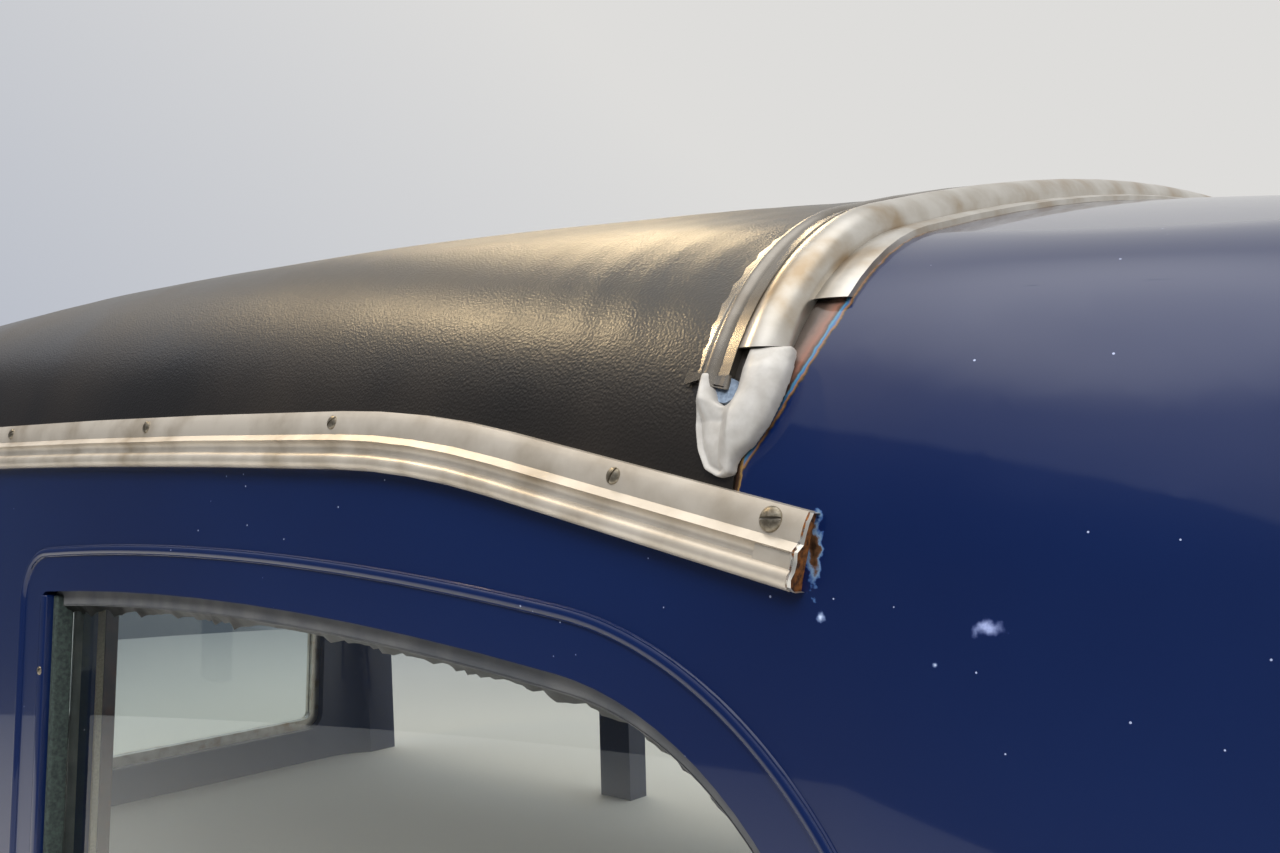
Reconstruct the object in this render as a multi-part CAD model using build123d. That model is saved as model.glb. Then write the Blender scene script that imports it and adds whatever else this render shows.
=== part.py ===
from build123d import *
import os
from math import acos, asin, cos, radians, sin, sqrt, tan

# Closed top of a six-light sedan body, cut at its belt line. Millimetres.
# X runs to the rear, Y to the car's right, Z up. The belt line stands on Z = 0.

# Body form
LENGTH = 2100.0
REAR_HALF_WIDTH = 682.0
FRONT_HALF_WIDTH = 627.0
LEAN_DEG = 2.3
REAR_CORNER_R = 280.0
FRONT_CORNER_R = 165.0
ROOF_PEAK_INSET = 730.0
STEEL_ROOF_Z = 754.0
ROOF_LENGTH_R = 5400.0
ROOF_CROSS_R = 2300.0
ROOF_ROLL_R = 130.0

# Walls, lining and roof covering
WALL = 40.0
LINING = 5.0
ROOF_WALL = 30.0
HEADLINING = 4.0
PADDING_RISE = 5.0
COVERING = 4.0

# Line of the side moulding's top edge: its rear end, a bend, and two arcs that fall
# to the front. Places along the car are measured from the end that they are near.
MOULDING_REAR_INSET = 303.0
MOULDING_REAR_FALL = 35.8
MOULDING_LEVEL_DROP = 151.4
MOULDING_BEND_INSET = 501.0
MOULDING_BEND_R = 600.0
MOULDING_CROWN_R = 12800.0
MOULDING_TURN_INSET = 1150.0
MOULDING_FRONT_R = 3900.0
MOULDING_FRONT_INSET = 88.0

# Its section: height, and how far each part stands off the body
MOULDING_HEIGHT = 26.5
MOULDING_DEPTH = 16.0
MOULDING_FLANGE_RISE = 2.5
MOULDING_STEP_RISE = 5.0
MOULDING_RIDGE_RISE = 8.0
MOULDING_HOLLOW_RISE = 5.2
MOULDING_BEAD_RISE = 9.2
MOULDING_SADDLE_RISE = 6.9
MOULDING_SADDLE_LENGTH = 16.0

# Openings, below the side moulding's top edge where they follow it
DOOR_TOP_DROP = 94.0
HEADLINING_DROP = 34.0
QUARTER_REAR_INSET = 277.0
QUARTER_WIDTH = 582.0
QUARTER_SILL_Z = 95.0
QUARTER_CREST_INSET = 620.0
QUARTER_TOP_R = 2500.0
QUARTER_REAR_R = 152.0
QUARTER_SILL_R = 70.0
QUARTER_JAMB_R = 9.0
QUARTER_JAMB = 12.0
REVEAL_GAP = 21.0
REVEAL_WIDTH = 5.0
REVEAL_RISE = 1.2
C_POST_WIDTH = 50.0
B_POST_WIDTH = 62.0
A_POST_WIDTH = 67.0
REAR_DOOR_WIDTH = 524.0
WINDSCREEN_WIDTH = 900.0
WINDSCREEN_SILL_Z = 60.0
WINDSCREEN_TOP_DROP = 329.0
WINDSCREEN_R = 28.0
REAR_WINDOW_WIDTH = 640.0
REAR_WINDOW_SILL_Z = 235.0
REAR_WINDOW_HEIGHT = 225.0
REAR_WINDOW_R = 70.0

# Glass and its strips
GLASS = 5.0
GLASS_INSET = 15.0
SEAL_WIDTH = 9.0
SEAL_DEPTH = 18.0
SEAL_INSET = 8.0
GARNISH_WIDTH = 14.0
GARNISH_DEPTH = 8.0
GARNISH_GAP = 0.2
FRAME_WIDTH = 16.0
FRAME_DEPTH = 18.0

# Bolt holes in the feet, on the belt line
BOLT_HOLE_R = 4.5
BOLT_HOLE_DEPTH = 35.0
POST_BOLT_SPACING = 34.0
END_BOLT_SPACING = 640.0
LINING_FOOT = 4.0

# Seams between the panels
CROSS_MOULDING_INSET = 334.0
FRONT_MOULDING_INSET = 115.0
BACK_SEAM_INSET = 145.0
ROOF_SEAM_DROP = 114.0

# Strips of the cross moulding: widths along the car, and heights over the surface
LIP_WIDTH = 7.0
LIP_RISE = 2.2
GROOVE_RISE = 0.8
BEAD_WIDTH = 8.0
BEAD_RISE = 6.2
BAND_WIDTH = 5.5
BAND_RISE = 4.8
COVER_STRIP_WIDTH = 17.0
COVER_STRIP_OFFSET = 1.0
COVER_STRIP_RISE = 7.0
COVER_STRIP_EDGE = 0.4
COVER_STRIP_DEPTH = 16.0
FLANGE_WIDTH = 14.0
FLANGE_RISE = 3.0
FRONT_STRIP_WIDTH = 24.0
FRONT_STRIP_RISE = 7.0
STRIP_DEPTH = 5.0

# Heights above the side moulding's rear end where the strips and the cast tip end
COVER_STRIP_END = 55.2
BEAD_END = 45.2
BROKEN_FLANGE_END = 73.2
TIP_BOTTOM = 9.8
TIP_RISE = 9.0
TIP_RECESS_INSET = 3.4
TIP_RECESS = 41.0
TIP_RECESS_R = 3.8
TIP_RECESS_DEPTH = 3.5

# Worked out from the sizes above
HALF_LENGTH = LENGTH / 2
LEAN = tan(radians(LEAN_DEG))
ROOF_PEAK_X = HALF_LENGTH - ROOF_PEAK_INSET
MOULDING_REAR_X = HALF_LENGTH - MOULDING_REAR_INSET
MOULDING_BEND_X = HALF_LENGTH - MOULDING_BEND_INSET
MOULDING_TURN_X = HALF_LENGTH - MOULDING_TURN_INSET
MOULDING_FRONT_X = -HALF_LENGTH + MOULDING_FRONT_INSET
MOULDING_LEVEL_Z = STEEL_ROOF_Z - MOULDING_LEVEL_DROP
MOULDING_REAR_Z = MOULDING_LEVEL_Z - MOULDING_REAR_FALL
QUARTER_REAR_X = HALF_LENGTH - QUARTER_REAR_INSET
QUARTER_FRONT_X = QUARTER_REAR_X - QUARTER_WIDTH
QUARTER_TOP_Z = MOULDING_LEVEL_Z - DOOR_TOP_DROP
QUARTER_CREST_X = HALF_LENGTH - QUARTER_CREST_INSET
C_POST_REAR_X = QUARTER_FRONT_X - QUARTER_JAMB
C_POST_FRONT_X = C_POST_REAR_X - C_POST_WIDTH
B_POST_REAR_X = C_POST_FRONT_X - REAR_DOOR_WIDTH
B_POST_FRONT_X = B_POST_REAR_X - B_POST_WIDTH
A_POST_REAR_X = -HALF_LENGTH + A_POST_WIDTH
WINDSCREEN_TOP_Z = STEEL_ROOF_Z - WINDSCREEN_TOP_DROP
CROSS_MOULDING_X = HALF_LENGTH - CROSS_MOULDING_INSET
FRONT_MOULDING_X = -HALF_LENGTH + FRONT_MOULDING_INSET
BACK_SEAM_X = HALF_LENGTH - BACK_SEAM_INSET
ROOF_SEAM_Z = STEEL_ROOF_Z - ROOF_SEAM_DROP
COVER_STRIP_X = CROSS_MOULDING_X + COVER_STRIP_OFFSET
COVER_FRONT_X = COVER_STRIP_X - COVER_STRIP_WIDTH / 2
COVER_REAR_X = COVER_STRIP_X + COVER_STRIP_WIDTH / 2
BEAD_STRIP_WIDTH = LIP_WIDTH + BEAD_WIDTH + BAND_WIDTH
COVER_STRIP_END_Z = MOULDING_REAR_Z + COVER_STRIP_END
BEAD_END_Z = MOULDING_REAR_Z + BEAD_END
BROKEN_FLANGE_END_Z = MOULDING_REAR_Z + BROKEN_FLANGE_END
TIP_BOTTOM_Z = MOULDING_REAR_Z + TIP_BOTTOM
TIP_RECESS_Z = MOULDING_REAR_Z + TIP_RECESS
REACH = LENGTH
BELOW = WALL
CUT_OUT = WALL
CUT_IN = 2 * (WALL + LINING)
SECTION_FOOT = 15.0


def block(x0, x1, y0, y1, z0, z1):
    """A plain box between two corners, used as a cutter."""
    size = Box(x1 - x0, y1 - y0, z1 - z0)
    return Pos((x0 + x1) / 2, (y0 + y1) / 2, (z0 + z1) / 2) * size


def body_form(inset, lift, roll):
    """The whole top as one solid: leaning sides, crowned roof, rolled edges."""
    front, rear = -HALF_LENGTH + inset, HALF_LENGTH - inset
    half_front, half_rear = FRONT_HALF_WIDTH - inset, REAR_HALF_WIDTH - inset
    corners = [(front, -half_front), (rear, -half_rear), (rear, half_rear), (front, half_front)]
    plan = make_face(Polyline(*corners, close=True))
    plan = fillet([v for v in plan.vertices() if v.X > 0], REAR_CORNER_R - inset)
    plan = fillet([v for v in plan.vertices() if v.X < front + 1], FRONT_CORNER_R - inset)
    sides = extrude(plan, STEEL_ROOF_Z + ROOF_ROLL_R, taper=LEAN_DEG)
    top = STEEL_ROOF_Z + lift
    half = REAR_HALF_WIDTH + ROOF_ROLL_R
    shoulder = top - (ROOF_CROSS_R - sqrt(ROOF_CROSS_R**2 - half**2))
    crest = ThreePointArc(
        (ROOF_PEAK_X, -half, shoulder), (ROOF_PEAK_X, 0, top), (ROOF_PEAK_X, half, shoulder)
    )
    below = Polyline(
        (ROOF_PEAK_X, half, shoulder),
        (ROOF_PEAK_X, half, -100),
        (ROOF_PEAK_X, -half, -100),
        (ROOF_PEAK_X, -half, shoulder),
    )
    section = make_face(Wire([crest, *below.edges()]))
    hub = Axis((ROOF_PEAK_X, 0, top - ROOF_LENGTH_R), (0, 1, 0))
    crown = revolve(section, hub, revolution_arc=60).rotate(hub, -30)
    body = sides & crown
    roof = body.faces().sort_by(Axis.Z)[-1]
    return fillet(roof.edges(), roll)


def on_arc(hub, radius, x):
    """Height at x of the top of a circle in the XZ plane."""
    return hub[1] + sqrt(radius**2 - (x - hub[0]) ** 2)


def moulding_line(drop=0.0, front=-HALF_LENGTH - 60, rear=MOULDING_REAR_X):
    """The side moulding's top edge in the XZ plane, or a line that far below it."""
    slope = (MOULDING_LEVEL_Z - MOULDING_REAR_Z) / (MOULDING_REAR_X - MOULDING_BEND_X)
    level = MOULDING_LEVEL_Z - drop
    reach = MOULDING_BEND_R * tan(asin(slope / sqrt(1 + slope**2)) / 2)
    fall = 1 / sqrt(1 + slope**2)
    bend_rear = (MOULDING_BEND_X + reach * fall, level - reach * slope * fall)
    bend_front = (MOULDING_BEND_X - reach, level)
    end = (rear, level - slope * (rear - MOULDING_BEND_X))
    straight = Line((end[0], 0, end[1]), (bend_rear[0], 0, bend_rear[1]))
    middle = (bend_front[0] + bend_rear[0]) / 2
    sag = MOULDING_BEND_R - sqrt(MOULDING_BEND_R**2 - (middle - bend_front[0]) ** 2)
    bend = ThreePointArc(
        (bend_rear[0], 0, bend_rear[1]), (middle, 0, level - sag), (bend_front[0], 0, level)
    )
    hub = (bend_front[0], level - MOULDING_CROWN_R)
    turn_z = on_arc(hub, MOULDING_CROWN_R, MOULDING_TURN_X)
    half_way = (bend_front[0] + MOULDING_TURN_X) / 2
    crown = ThreePointArc(
        (bend_front[0], 0, level),
        (half_way, 0, on_arc(hub, MOULDING_CROWN_R, half_way)),
        (MOULDING_TURN_X, 0, turn_z),
    )
    share = MOULDING_FRONT_R / MOULDING_CROWN_R
    near = (
        MOULDING_TURN_X + (hub[0] - MOULDING_TURN_X) * share,
        turn_z + (hub[1] - turn_z) * share,
    )
    half_way = (front + MOULDING_TURN_X) / 2
    fall = ThreePointArc(
        (MOULDING_TURN_X, 0, turn_z),
        (half_way, 0, on_arc(near, MOULDING_FRONT_R, half_way)),
        (front, 0, on_arc(near, MOULDING_FRONT_R, front)),
    )
    return Wire([straight, bend, crown, fall])


def above_line(drop=0.0):
    """Everything above the moulding line, across the whole width."""
    line = moulding_line(drop, rear=HALF_LENGTH + 60)
    start, end = line @ 0, line @ 1
    top = STEEL_ROOF_Z + ROOF_ROLL_R
    rest = Polyline((end.X, 0, end.Z), (end.X, 0, top), (start.X, 0, top), (start.X, 0, start.Z))
    face = make_face(Wire([*line.edges(), *rest.edges()]))
    return extrude(face, amount=REACH / 2, dir=(0, 1, 0), both=True)


def side_plane():
    """Plane of the left side's outer face: x along the side to the rear, y up, z outward."""
    along = Vector(LENGTH, FRONT_HALF_WIDTH - REAR_HALF_WIDTH, 0).normalized()
    inward = Vector(-along.Y, along.X, 0)
    up = Vector(0, 0, cos(radians(LEAN_DEG))) + inward * sin(radians(LEAN_DEG))
    middle = (FRONT_HALF_WIDTH + REAR_HALF_WIDTH) / 2
    return Plane(origin=(0, -middle, 0), x_dir=along, z_dir=along.cross(up))


def end_plane(sign):
    """Plane of the rear (+1) or front (-1) outer face: y up, z outward."""
    lean = radians(LEAN_DEG)
    outward = Vector(sign * cos(lean), 0, sin(lean))
    return Plane(origin=(sign * HALF_LENGTH, 0, 0), x_dir=(0, sign, 0), z_dir=outward)


SIDE = side_plane()
REAR = end_plane(1)
FRONT = end_plane(-1)


def slab(plane, outline, depth_from, depth_to):
    """A flat outline on a leaning plane, extruded between two depths below it."""
    return extrude(plane.offset(-depth_to) * outline, amount=depth_to - depth_from)


def outline(start, *steps):
    """A closed face: each step is a point, or an arc's middle and end."""
    edges, here = [], start
    for step in steps:
        if isinstance(step[0], tuple):
            edges.append(ThreePointArc(here, *step))
            here = step[1]
        else:
            edges.append(Line(here, step))
            here = step
    edges.append(Line(here, start))
    return make_face(Wire(edges))


def quarter_outline(grow=0.0):
    """The quarter window: a bowed top, square in front, a large round at its top rear."""
    x0, x1 = QUARTER_FRONT_X - grow, QUARTER_REAR_X + grow
    y0, y1 = QUARTER_SILL_Z - grow, QUARTER_TOP_Z + grow
    hub = (QUARTER_CREST_X, QUARTER_TOP_Z - QUARTER_TOP_R)
    front_top = on_arc(hub, QUARTER_TOP_R + grow, x0)
    rear_top = on_arc(hub, QUARTER_TOP_R + grow, x1)
    face = outline((x1, rear_top), ((QUARTER_CREST_X, y1), (x0, front_top)), (x0, y0), (x1, y0))
    for x, y, radius in (
        (x1, rear_top, QUARTER_REAR_R),
        (x1, y0, QUARTER_SILL_R),
        (x0, front_top, QUARTER_JAMB_R),
        (x0, y0, QUARTER_JAMB_R),
    ):
        corner = min(face.vertices(), key=lambda v: (v.X - x) ** 2 + (v.Y - y) ** 2)
        face = fillet(corner, max(radius + grow, 2.0))
    return face


def rounded(width, bottom, top, radius):
    """A rounded rectangle, centred across, between two heights."""
    return Pos(0, (bottom + top) / 2) * RectangleRounded(width, top - bottom, radius)


def windscreen_outline(grow=0.0):
    return rounded(
        WINDSCREEN_WIDTH + 2 * grow,
        WINDSCREEN_SILL_Z - grow,
        WINDSCREEN_TOP_Z + grow,
        WINDSCREEN_R + grow,
    )


def rear_window_outline(grow=0.0):
    return rounded(
        REAR_WINDOW_WIDTH + 2 * grow,
        REAR_WINDOW_SILL_Z - grow,
        REAR_WINDOW_SILL_Z + REAR_WINDOW_HEIGHT + grow,
        REAR_WINDOW_R + grow,
    )


def foot_holes(places):
    """Blind bolt holes up into the feet, at the given places on the belt line."""
    hole = Cylinder(BOLT_HOLE_R, 2 * BOLT_HOLE_DEPTH)
    return [Pos(x, y, 0) * hole for x, y in places]


def post_hole_places():
    """Two holes along the middle of the left centre post's foot."""
    x = (B_POST_FRONT_X + B_POST_REAR_X) / 2
    share = (x + HALF_LENGTH) / LENGTH
    half_width = FRONT_HALF_WIDTH + share * (REAR_HALF_WIDTH - FRONT_HALF_WIDTH)
    y = -(half_width - WALL / 2)
    return [(x - POST_BOLT_SPACING / 2, y), (x + POST_BOLT_SPACING / 2, y)]


def end_hole_places(sign):
    """Two holes in the foot of the back panel (+1) or of the cowl rail (-1)."""
    x = sign * (HALF_LENGTH - WALL / 2)
    return [(x, -END_BOLT_SPACING / 2), (x, END_BOLT_SPACING / 2)]


def roof_section(x, lift):
    """Outline of the roof across the car at x: leaning side, roll, crown and back down."""
    top = STEEL_ROOF_Z + lift
    top -= ROOF_LENGTH_R - sqrt(ROOF_LENGTH_R**2 - (x - ROOF_PEAK_X) ** 2)
    share = (x + HALF_LENGTH) / LENGTH
    foot = FRONT_HALF_WIDTH + share * (REAR_HALF_WIDTH - FRONT_HALF_WIDTH)
    lean = radians(LEAN_DEG)
    hub_z = top - ROOF_CROSS_R
    reach = ROOF_CROSS_R - ROOF_ROLL_R
    # The roll's centre lies its radius inside the side line and inside the crown's circle.
    offset = foot - ROOF_ROLL_R / cos(lean)
    a = 1 + LEAN**2
    b = -2 * offset * LEAN - 2 * hub_z
    c = offset**2 + hub_z**2 - reach**2
    roll_z = (-b + sqrt(b * b - 4 * a * c)) / (2 * a)
    roll_y = offset - roll_z * LEAN
    side_end = (roll_y + ROOF_ROLL_R * cos(lean), roll_z + ROOF_ROLL_R * sin(lean))
    turn = acos((roll_z - hub_z) / reach)
    crown_end = (roll_y + ROOF_ROLL_R * sin(turn), roll_z + ROOF_ROLL_R * cos(turn))
    half = (lean + radians(90) - turn) / 2
    roll_mid = (roll_y + ROOF_ROLL_R * cos(half), roll_z + ROOF_ROLL_R * sin(half))
    low = (side_end[0] + SECTION_FOOT * LEAN, side_end[1] - SECTION_FOOT)

    def at(point, sign):
        return (x, sign * point[0], point[1])

    return Wire(
        [
            Line(at(low, -1), at(side_end, -1)),
            ThreePointArc(at(side_end, -1), at(roll_mid, -1), at(crown_end, -1)),
            ThreePointArc(at(crown_end, -1), (x, 0, top), at(crown_end, 1)),
            ThreePointArc(at(crown_end, 1), at(roll_mid, 1), at(side_end, 1)),
            Line(at(side_end, 1), at(low, 1)),
        ]
    )


def strip_over_roof(profile, x, lift):
    """Sweeps a profile (x forward, y outward) over the roof from side to side."""
    path = roof_section(x, lift)
    start = Plane(origin=path @ 0, x_dir=(-1, 0, 0), z_dir=path % 0)
    return sweep(start * profile, path=path)


def mirrored(solid):
    return mirror(solid, about=Plane.XZ)


# The body's nested forms, from the covering inward
steel_form = body_form(0, 0, ROOF_ROLL_R)
cover_form = body_form(0, PADDING_RISE, ROOF_ROLL_R)
deck_form = body_form(COVERING, PADDING_RISE - COVERING, ROOF_ROLL_R - COVERING)
wall_form = body_form(WALL, -ROOF_WALL, ROOF_ROLL_R - WALL)
room_form = body_form(WALL + LINING, -ROOF_WALL - HEADLINING, ROOF_ROLL_R - WALL - LINING)

wall = steel_form - wall_form
lining = wall_form - room_form
under_cover = block(FRONT_MOULDING_X, CROSS_MOULDING_X, -REACH, REACH, 0, REACH)
over_line = above_line() & under_cover
cover_half = cover_form & under_cover
quarter_cut = slab(SIDE, quarter_outline(), -CUT_OUT, CUT_IN)
quarter_cuts = quarter_cut + mirrored(quarter_cut)
rear_cut = slab(REAR, rear_window_outline(), -CUT_OUT, CUT_IN)
windscreen_cut = slab(FRONT, windscreen_outline(), -CUT_OUT, CUT_IN)


def seated(piece):
    """The piece without what would lie inside the body that carries it."""
    return (piece - steel_form) - cover_half


def pair(name, left, parts):
    """Adds a left piece and its mirrored right one."""
    parts[name + "_left"] = left
    parts[name + "_right"] = mirrored(left)


def roof_parts(parts):
    """The covering, the deck that it is stretched over, and the headlining."""
    parts["roof_cover"] = (cover_form - deck_form) & over_line
    parts["roof_deck"] = (deck_form - wall_form) & over_line
    head = block(A_POST_REAR_X, BACK_SEAM_X, -REACH, REACH, 0, REACH) & above_line(HEADLINING_DROP)
    parts["headlining"] = lining & head
    half = WINDSCREEN_WIDTH / 2
    across = block(-REACH, FRONT_MOULDING_X, -REACH, REACH, WINDSCREEN_TOP_Z, REACH)
    low = WINDSCREEN_TOP_Z - WINDSCREEN_R
    corners = block(-REACH, A_POST_REAR_X, -half, half, low, WINDSCREEN_TOP_Z)
    parts["windscreen_header"] = (wall & (across + corners)) - windscreen_cut


def rear_parts(parts):
    """Steel panels behind the doors, with their linings."""
    behind = block(CROSS_MOULDING_X, REACH, -REACH, REACH, ROOF_SEAM_Z, REACH)
    parts["rear_roof_panel"] = wall & behind
    left = block(C_POST_REAR_X, BACK_SEAM_X, -REACH, 0, -BELOW, ROOF_SEAM_Z)
    raised = body_form(-REVEAL_RISE, REVEAL_RISE, ROOF_ROLL_R + REVEAL_RISE) - wall_form
    ring = quarter_outline(REVEAL_GAP + REVEAL_WIDTH) - quarter_outline(REVEAL_GAP)
    reveal = raised & slab(SIDE, ring, -WALL, WALL / 2)
    quarter = ((wall + reveal) & left) - over_line - quarter_cuts
    pair("quarter_panel", quarter, parts)
    back = block(BACK_SEAM_X, REACH, -REACH, REACH, -BELOW, ROOF_SEAM_Z)
    parts["back_panel"] = (wall & back) - rear_cut - foot_holes(end_hole_places(1))
    left_trim = block(C_POST_REAR_X, BACK_SEAM_X, -REACH, 0, LINING_FOOT, REACH)
    left_lining = (lining & left_trim) - above_line(HEADLINING_DROP) - quarter_cuts
    pair("quarter_lining", left_lining, parts)
    back_trim = block(BACK_SEAM_X, REACH, -REACH, REACH, LINING_FOOT, REACH)
    parts["back_lining"] = (lining & back_trim) - rear_cut


def side_parts(parts):
    """Rails over the doors and the posts between them."""
    left = block(A_POST_REAR_X, C_POST_REAR_X, -REACH, 0, 0, REACH)
    ahead = block(-REACH, FRONT_MOULDING_X, -REACH, REACH, WINDSCREEN_TOP_Z, REACH)
    below = (wall & left) - over_line - ahead
    pair("door_header", below & above_line(DOOR_TOP_DROP), parts)
    posts = wall - above_line(DOOR_TOP_DROP)
    spans = (
        ("b_post", B_POST_FRONT_X, B_POST_REAR_X),
        ("c_post", C_POST_FRONT_X, C_POST_REAR_X),
    )
    for name, front, rear in spans:
        post = posts & block(front, rear, -REACH, 0, -BELOW, REACH)
        if name == "b_post":
            post -= foot_holes(post_hole_places())
        pair(name, post, parts)
    half = WINDSCREEN_WIDTH / 2
    corner = block(-REACH, A_POST_REAR_X, -REACH, -half, -BELOW, WINDSCREEN_TOP_Z)
    pair("a_post", (wall & corner) - windscreen_cut, parts)
    sill = block(-REACH, A_POST_REAR_X, -half, half, -BELOW, WINDSCREEN_SILL_Z + WINDSCREEN_R)
    parts["cowl_rail"] = (wall & sill) - windscreen_cut - foot_holes(end_hole_places(-1))


def moulding_profile():
    """Screwed flange, sharp ridge, hollow and rounded bead: x outward, y up."""
    top = MOULDING_HEIGHT / 2
    return outline(
        (-MOULDING_DEPTH, -top),
        (-MOULDING_DEPTH, top),
        (MOULDING_FLANGE_RISE, top),
        ((MOULDING_STEP_RISE - 0.4, 0.6 * top), (MOULDING_STEP_RISE, 0.2 * top)),
        (MOULDING_RIDGE_RISE, 0),
        ((MOULDING_HOLLOW_RISE, -0.2 * top), (MOULDING_HOLLOW_RISE, -0.42 * top)),
        ((MOULDING_BEAD_RISE, -0.7 * top), (MOULDING_HOLLOW_RISE, -top)),
    )


def saddle_profile():
    """What fills the hollow at the rear end, up to a shallow saddle."""
    top = MOULDING_HEIGHT / 2
    inside = MOULDING_HOLLOW_RISE - 1.2
    return outline(
        (inside, 0.05 * top),
        (MOULDING_RIDGE_RISE - 1.5, 0.05 * top),
        ((MOULDING_SADDLE_RISE, -0.35 * top), (MOULDING_BEAD_RISE - 1.2, -0.68 * top)),
        (inside, -0.68 * top),
    )


def side_moulding(parts):
    """The drip moulding, swept along the side and fitted to the body under it."""
    line = moulding_line(MOULDING_HEIGHT / 2, front=MOULDING_FRONT_X)
    flat = [Plane.XZ.to_local_coords(e) for e in line.edges()]
    path = Wire([SIDE * Rot(0, 0, 0) * e for e in flat])
    start = Plane(origin=path @ 0, x_dir=SIDE.z_dir, z_dir=path % 0)
    swept = sweep(start * moulding_profile(), path=path)
    saddle = extrude(start * saddle_profile(), MOULDING_SADDLE_LENGTH)
    pair("side_moulding", seated(swept + saddle), parts)


def strip_profile(forward, rear, rise, depth):
    """A strip across its width: crowned on top, sunk by depth to reach the roof."""
    edge = 0.6 * rise
    middle = (forward + rear) / 2
    return outline(
        (forward, -depth), (rear, -depth), (rear, edge), ((middle, rise), (forward, edge))
    )


def cover_strip_profile():
    """Wide crowned strip whose rear edge falls towards the steel."""
    half = COVER_STRIP_WIDTH / 2
    return outline(
        (half, -COVER_STRIP_DEPTH),
        (-half, -COVER_STRIP_DEPTH),
        (-half, -COVER_STRIP_EDGE),
        ((0, COVER_STRIP_RISE), (half, BAND_RISE - 0.3)),
    )


def bead_strip_profile():
    """Flat band, round bead, groove and thin lip, from the rear forward."""
    band = -BEAD_STRIP_WIDTH / 2
    bead = band + BAND_WIDTH
    lip = bead + BEAD_WIDTH
    front = lip + LIP_WIDTH
    return outline(
        (band, -STRIP_DEPTH),
        (band, BAND_RISE),
        (bead, BAND_RISE - 0.4),
        ((bead + BEAD_WIDTH / 2, BEAD_RISE), (lip, GROOVE_RISE)),
        (lip + 0.3 * LIP_WIDTH, LIP_RISE),
        (front, 0.7 * LIP_RISE),
        (front, -STRIP_DEPTH),
    )


def over(height, y0=-REACH, y1=REACH):
    """Everything above a height, between two places across the car."""
    return block(-REACH, REACH, y0, y1, height, REACH)


def cross_mouldings(parts):
    """Strips over the roof where covering and steel meet, and the one at the front."""
    cover = strip_over_roof(cover_strip_profile(), COVER_STRIP_X, PADDING_RISE)
    parts["cover_strip"] = seated(cover & over(COVER_STRIP_END_Z))
    x = COVER_FRONT_X - BEAD_STRIP_WIDTH / 2
    bead = strip_over_roof(bead_strip_profile(), x, PADDING_RISE)
    parts["bead_strip"] = (bead & over(BEAD_END_Z)) - cover_half
    half = FLANGE_WIDTH / 2
    profile = strip_profile(half, -half, FLANGE_RISE, STRIP_DEPTH)
    flange = strip_over_roof(profile, COVER_REAR_X + half, 0)
    whole = over(COVER_STRIP_END_Z, y0=0)
    broken = over(BROKEN_FLANGE_END_Z, y1=0)
    parts["rear_flange_strip"] = ((flange & whole) + (flange & broken)) - steel_form
    half = FRONT_STRIP_WIDTH / 2
    profile = strip_profile(half, -half, FRONT_STRIP_RISE, STRIP_DEPTH)
    front = strip_over_roof(profile, FRONT_MOULDING_X, PADDING_RISE)
    parts["front_cross_moulding"] = seated(front & above_line())


def tip_outline():
    """Hooked outline of the cast tip: a straight neck and a lobe under the bead strip."""
    front, rear, lobe = COVER_FRONT_X, COVER_REAR_X, COVER_FRONT_X - BEAD_STRIP_WIDTH + LIP_WIDTH
    top, bottom = COVER_STRIP_END_Z, TIP_BOTTOM_Z
    return outline(
        (front, top),
        (rear + 1.5, top),
        (rear + 2.5, top - 20),
        ((rear - 2.5, top - 31), (front + 6.5, bottom + 4.5)),
        ((front - 0.5, bottom), (front - 6.5, bottom + 7)),
        ((lobe + 2.5, bottom + 21), (lobe + 1, BEAD_END_Z)),
        (front, BEAD_END_Z),
    )


def cast_tips(parts):
    """Castings that finish the cross moulding above the side moulding."""
    proud = body_form(-TIP_RISE, PADDING_RISE + TIP_RISE, ROOF_ROLL_R + TIP_RISE)
    blank = slab(SIDE, tip_outline(), -CUT_OUT, WALL)
    spot = Pos(COVER_FRONT_X - TIP_RECESS_INSET, TIP_RECESS_Z) * Circle(TIP_RECESS_R)
    recess = slab(SIDE, spot, -CUT_OUT, TIP_RECESS_DEPTH - TIP_RISE)
    pair("cast_tip", seated((blank & proud) - recess), parts)


def window_set(name, plane, outline, parts, both_sides=False):
    """Glass, its strip round the opening, and the frame on the lining."""
    opening, sight = outline(), outline(-SEAL_WIDTH)
    pieces = {
        name + "_seal": slab(plane, opening - sight, SEAL_INSET, SEAL_INSET + SEAL_DEPTH),
        name + "_glass": slab(plane, sight, GLASS_INSET, GLASS_INSET + GLASS),
        name + "_frame": slab(
            plane,
            outline(GARNISH_WIDTH) - opening,
            WALL + LINING + GARNISH_GAP,
            WALL + LINING + GARNISH_GAP + GARNISH_DEPTH,
        ),
    }
    for piece, solid in pieces.items():
        if both_sides:
            pair(piece, solid, parts)
        else:
            parts[piece] = solid


def windscreen(parts):
    """Opening windscreen: a flat frame round one pane."""
    inner = windscreen_outline(-FRAME_WIDTH)
    parts["windscreen_frame"] = slab(
        FRONT, windscreen_outline() - inner, SEAL_INSET, SEAL_INSET + FRAME_DEPTH
    )
    parts["windscreen_glass"] = slab(FRONT, inner, GLASS_INSET, GLASS_INSET + GLASS)


def build():
    parts = {}
    roof_parts(parts)
    rear_parts(parts)
    side_parts(parts)
    side_moulding(parts)
    cross_mouldings(parts)
    cast_tips(parts)
    window_set("quarter", SIDE, quarter_outline, parts, both_sides=True)
    window_set("rear_window", REAR, rear_window_outline, parts)
    windscreen(parts)
    return parts


os.makedirs("parts", exist_ok=True)
for node, shape in build().items():
    export_step(shape, f"parts/{node}.step")
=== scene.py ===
import random
from math import atan2, cos, pi, radians, sin, sqrt, tan

import bmesh
import bpy
import numpy as np
from mathutils import Matrix, Vector, noise


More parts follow.
